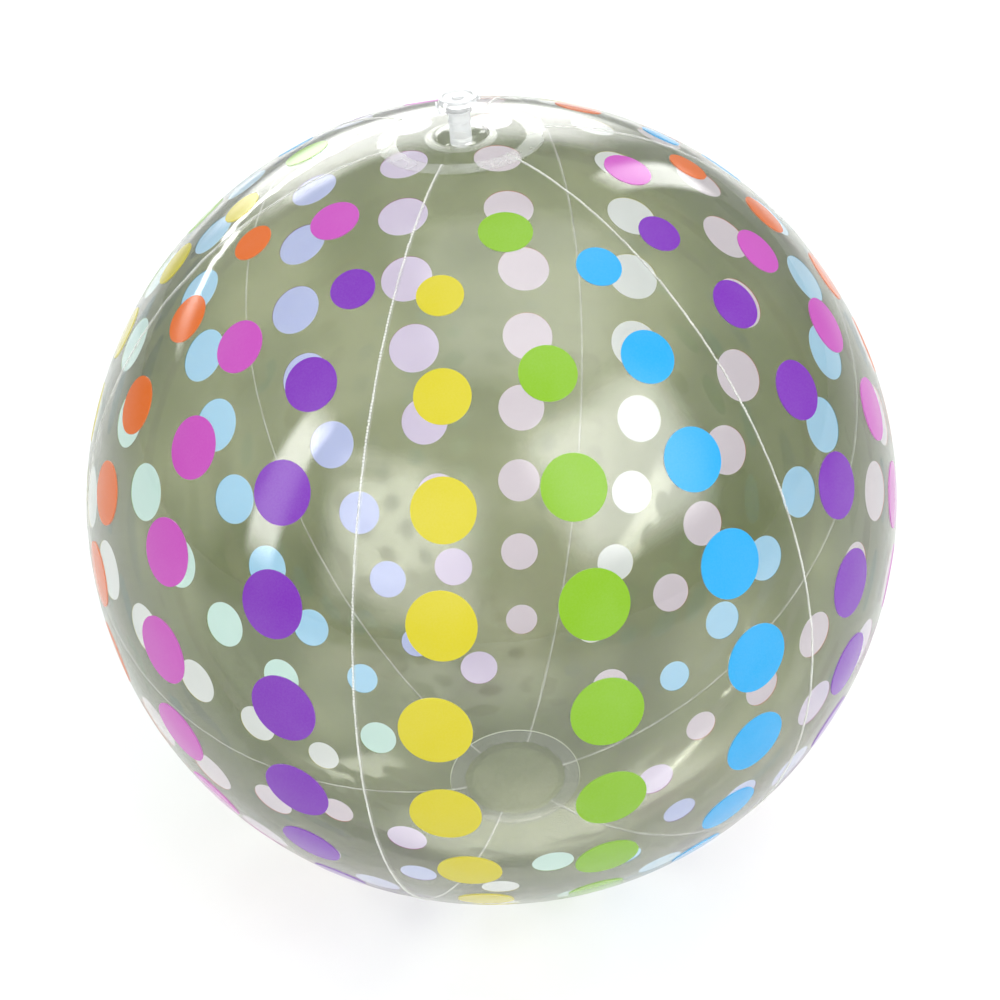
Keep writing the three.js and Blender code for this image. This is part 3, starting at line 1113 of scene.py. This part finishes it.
class BALL_OT_stopper(bpy.types.Operator):
    """Make the stopper and the strap that keeps it on the stem"""
    bl_idname = "beach_ball.stopper"
    bl_label = "Stopper and Strap"

    def execute(self, context):
        valve = context.scene.ball_valve
        material = bpy.data.materials["valve_vinyl"]
        place(stopper_mesh(valve), "plug", "valve", "stopper", material=material)

        strap = strap_mesh(valve)
        coat(strap, material)
        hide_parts("stopper_strap")
        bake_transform(strap)
        return {"FINISHED"}


def stopper_mesh(valve):
    """Round cap with a raised rim, a tapered nose under it and a finger tab at its side."""
    top, tip = CAP_HIGH[2], CAP_LOW[2]
    seat = top - valve.cap_height
    cap = valve.cap_radius
    hollow, boss = top - 0.6 * MM, top - 0.1 * MM
    outline = [
        (0.0, tip), (valve.nose_tip, tip), (valve.nose_root, seat), (cap, seat), (cap, top),
        (cap - 1.5 * MM, top), (cap - 1.9 * MM, hollow), (2.6 * MM, hollow), (2.2 * MM, boss),
        (0.0, boss)]
    piece = turned_mesh("stopper_plug", rounded(outline, valve.edge), 64)
    level = hollow - valve.tab_height / 2
    path = [(cap - 1.2 * MM, 0.0, level), (CAP_HIGH[0] - 0.1 * MM, 0.0, level)]
    tab = swept_band("tab", path, valve.tab_width, valve.tab_height)
    return joined_solid(piece, softened(tab, 0.4 * MM))


def strap_mesh(valve):
    """A flat band from a ring round the stem's neck, out and up to the cap's edge."""
    low, high = STRAP_LOW[2], STRAP_HIGH[2]
    half = valve.strap_thickness / 2
    outside = -STRAP_LOW[0]
    bend = 1.9 * MM
    bend_x, bend_z = -(outside - half - bend), low + half + bend
    path = [(-(valve.stem_radius + 0.6 * MM), 0.0, low + half)]
    path += arc((bend_x, bend_z), bend, 270, 180, 8)
    path += [(-(outside - half), 0.0, z) for z in spread(bend_z, high - half - 0.5 * MM, 6)[1:]]
    strap = swept_band("strap_band", path, STRAP_HIGH[1] - STRAP_LOW[1], valve.strap_thickness)
    softened(strap, 0.3 * MM)
    inner, outer = valve.stem_radius + 0.08 * MM, valve.stem_radius + 1.0 * MM
    ring_outline = [(inner, low), (outer, low), (outer, low + valve.strap_thickness),
                    (inner, low + valve.strap_thickness)]
    ring = turned_mesh("ring", rounded(ring_outline, 0.25 * MM), 64)
    return joined_solid(strap, ring)


# --- Stage ---

def floor_material():
    """Pale matt paint that can be seen through from below."""
    material, tree, output = new_material("stage_floor")
    cloud = noise(object_place(tree), 3.0, 2.0)
    shade = mix_colour(cloud, (0.80, 0.80, 0.79, 1), (0.84, 0.84, 0.83, 1))
    paint = principled(tree, {"Base Color": shade, "Roughness": 0.7})
    under = value_of(tree, "ShaderNodeBsdfTransparent")
    behind = value_of(tree, "ShaderNodeNewGeometry", output="Backfacing")
    plug(mix_shader(tree, behind, paint, under), output)
    return material


def soft_light(name, place_at, size, power):
    """An area light that faces the ball's centre and fades towards its edges."""
    lamp = bpy.data.lights.new(name, "AREA")
    lamp.shape = "RECTANGLE"
    lamp.size, lamp.size_y = size
    lamp.energy = power
    lamp.use_nodes = True
    tree = lamp.node_tree
    across, up, _ = split(value_of(tree, "ShaderNodeNewGeometry", output="Parametric"))
    fades = [ranged(maths("ABSOLUTE", part - 0.5), 0.24, 0.5, 1.0, 0.0, "SMOOTHSTEP")
             for part in (across, up)]
    plug(fades[0] * fades[1], tree.nodes["Emission"].inputs["Strength"])
    obj = new_object(name, lamp)
    obj.location = place_at
    obj.visible_camera = False
    aim = Vector((0, 0, CENTRE_Z)) - Vector(place_at)
    obj.rotation_euler = aim.to_track_quat("-Z", "Y").to_euler()


def place_camera():
    """The camera above the front, a little to the left, with a slight roll."""
    azimuth, elevation, roll = math.radians(-11.49), math.radians(35.43), math.radians(4.84)
    distance = 4.21 * BALL_R
    back = Vector((
        math.sin(azimuth) * math.cos(elevation),
        -math.cos(azimuth) * math.cos(elevation),
        math.sin(elevation)))
    camera = bpy.data.cameras.new("camera")
    camera.lens = 59.6
    camera.sensor_width = 36.0
    camera.shift_x = 0.0083
    obj = new_object("camera", camera)
    turn = back.to_track_quat("Z", "Y").to_matrix().to_4x4() @ Matrix.Rotation(-roll, 4, "Z")
    obj.matrix_world = Matrix.Translation(Vector((0, 0, CENTRE_Z)) + back * distance) @ turn
    bpy.context.scene.camera = obj


def place_sky():
    """Soft grey surroundings, a little lighter above."""
    world = bpy.data.worlds.new("studio")
    world.use_nodes = True
    tree = world.node_tree
    height = split(value_of(tree, "ShaderNodeTexCoord", output="Generated"))[2]
    share = ranged(height, -0.05, 0.9, 0.0, 1.0)
    shade = mix_colour(share, (0.30, 0.32, 0.31, 1), (0.70, 0.73, 0.76, 1))
    seen = value_of(tree, "ShaderNodeLightPath", output="Is Camera Ray")
    plug(mix_colour(seen, shade, (0.86, 0.87, 0.88, 1)), tree.nodes["Background"].inputs["Color"])
    bpy.context.scene.world = world


LIGHTS = (    # name, place, size in metres, power in watts
    ("overhead", (0.35, -0.05, 2.1), (2.2, 2.0), 17.0),
    ("behind", (0.2, 2.1, 0.85), (2.4, 1.3), 38.0),
    ("front_right", (0.75, -1.3, 1.2), (1.7, 1.5), 34.0),
    ("front_left", (-1.1, -1.5, 1.0), (1.8, 1.8), 18.0),
    ("left_window", (-1.9, -0.5, 1.2), (0.45, 1.8), 16.0),
    ("back_left", (-0.84, 1.95, 0.85), (2.4, 0.12), 8.0),
    ("back_right", (1.5, 1.6, 1.3), (0.4, 1.4), 9.0),
)


class BALL_OT_stage(bpy.types.Operator):
    """Set up the floor, the soft lights and the camera"""
    bl_idname = "beach_ball.stage"
    bl_label = "Stage"

    def execute(self, context):
        mesh = bmesh.new()
        bmesh.ops.create_grid(mesh, x_segments=1, y_segments=1, size=8.0)
        floor = finished_mesh("floor", mesh, smooth=False)
        floor.data.materials.append(floor_material())
        for name, place_at, size, power in LIGHTS:
            soft_light(name, place_at, size, power)
        place_sky()
        place_camera()
        context.scene.view_settings.view_transform = "Standard"
        context.scene.cycles.transparent_max_bounces = 48
        return {"FINISHED"}


# --- Panel and registration ---

OPERATORS = (BALL_OT_stage, BALL_OT_film, BALL_OT_seams, BALL_OT_dots, BALL_OT_discs,
             BALL_OT_valve_base, BALL_OT_stem, BALL_OT_stopper)

SETTINGS = {"ball_film": BallFilmSettings, "ball_dots": BallDotSettings,
            "ball_valve": BallValveSettings, "ball_colours": BallColourSettings}


class BALL_PT_build(bpy.types.Panel):
    """Lists the steps that build the ball"""
    bl_idname = "BALL_PT_build"
    bl_label = "Beach Ball"
    bl_space_type = "VIEW_3D"
    bl_region_type = "UI"
    bl_category = "Beach Ball"

    def draw(self, context):
        for operator in OPERATORS:
            self.layout.operator(operator.bl_idname)
        for name, group in SETTINGS.items():
            box = self.layout.box()
            box.label(text=group.__doc__)
            for key in group.__annotations__:
                box.prop(getattr(context.scene, name), key)


def register():
    for kind in (*SETTINGS.values(), *OPERATORS, BALL_PT_build):
        bpy.utils.register_class(kind)
    for name, group in SETTINGS.items():
        setattr(bpy.types.Scene, name, bpy.props.PointerProperty(type=group))


def unregister():
    for name in SETTINGS:
        delattr(bpy.types.Scene, name)
    for kind in (BALL_PT_build, *reversed(OPERATORS), *reversed(SETTINGS.values())):
        bpy.utils.unregister_class(kind)


def main():
    register()
    for operator in OPERATORS:
        getattr(bpy.ops.beach_ball, operator.bl_idname.split(".")[1])()


if __name__ == "__main__":
    main()
